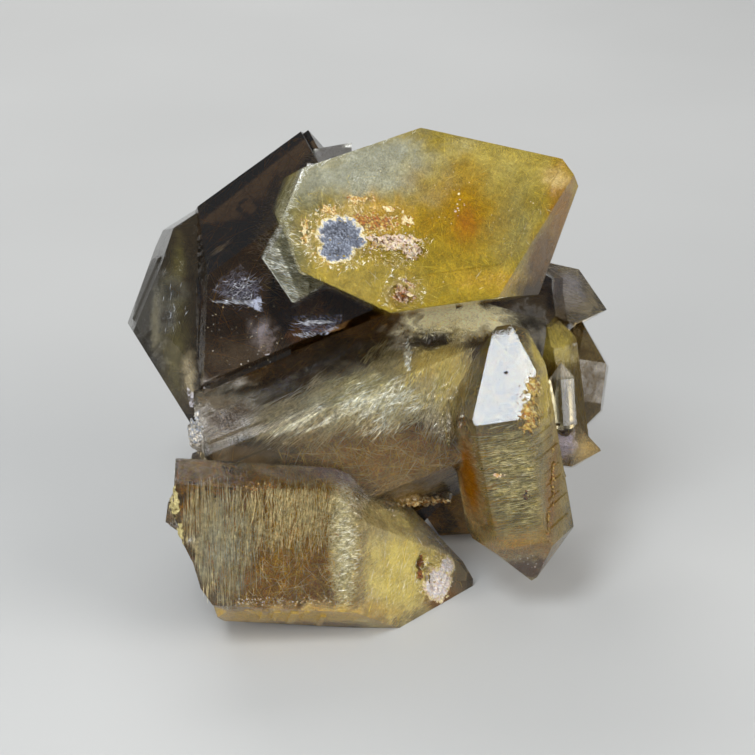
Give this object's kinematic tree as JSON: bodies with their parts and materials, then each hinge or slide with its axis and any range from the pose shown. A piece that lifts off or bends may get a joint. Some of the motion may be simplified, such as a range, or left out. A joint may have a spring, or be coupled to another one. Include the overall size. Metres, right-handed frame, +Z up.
{
  "type": "rutilated quartz cluster",
  "caption": "Mineral cluster of intergrown smoky and golden quartz crystals with flat faces and pointed tips, full of fine rutile needles, standing loose.",
  "frame": {"origin": "middle of the base: the centre of the bounding box in plan, on the resting plane", "axes": "+Z up, -Y towards the broad front with the large faces, +X to the right of it"},
  "size_m": [0.1162, 0.0936, 0.1081],
  "materials": {
    "quartz": "clear to smoky brown and golden, flat glossy faces with frosted and stained zones",
    "rutile": "fine golden needles",
    "veil": "silvery healed fractures inside the crystals",
    "crust": "rusty and chalky grains in the pits"
  },
  "bodies": {
    "root": {"quartz_cluster": "quartz"}
  },
  "joints": []
}
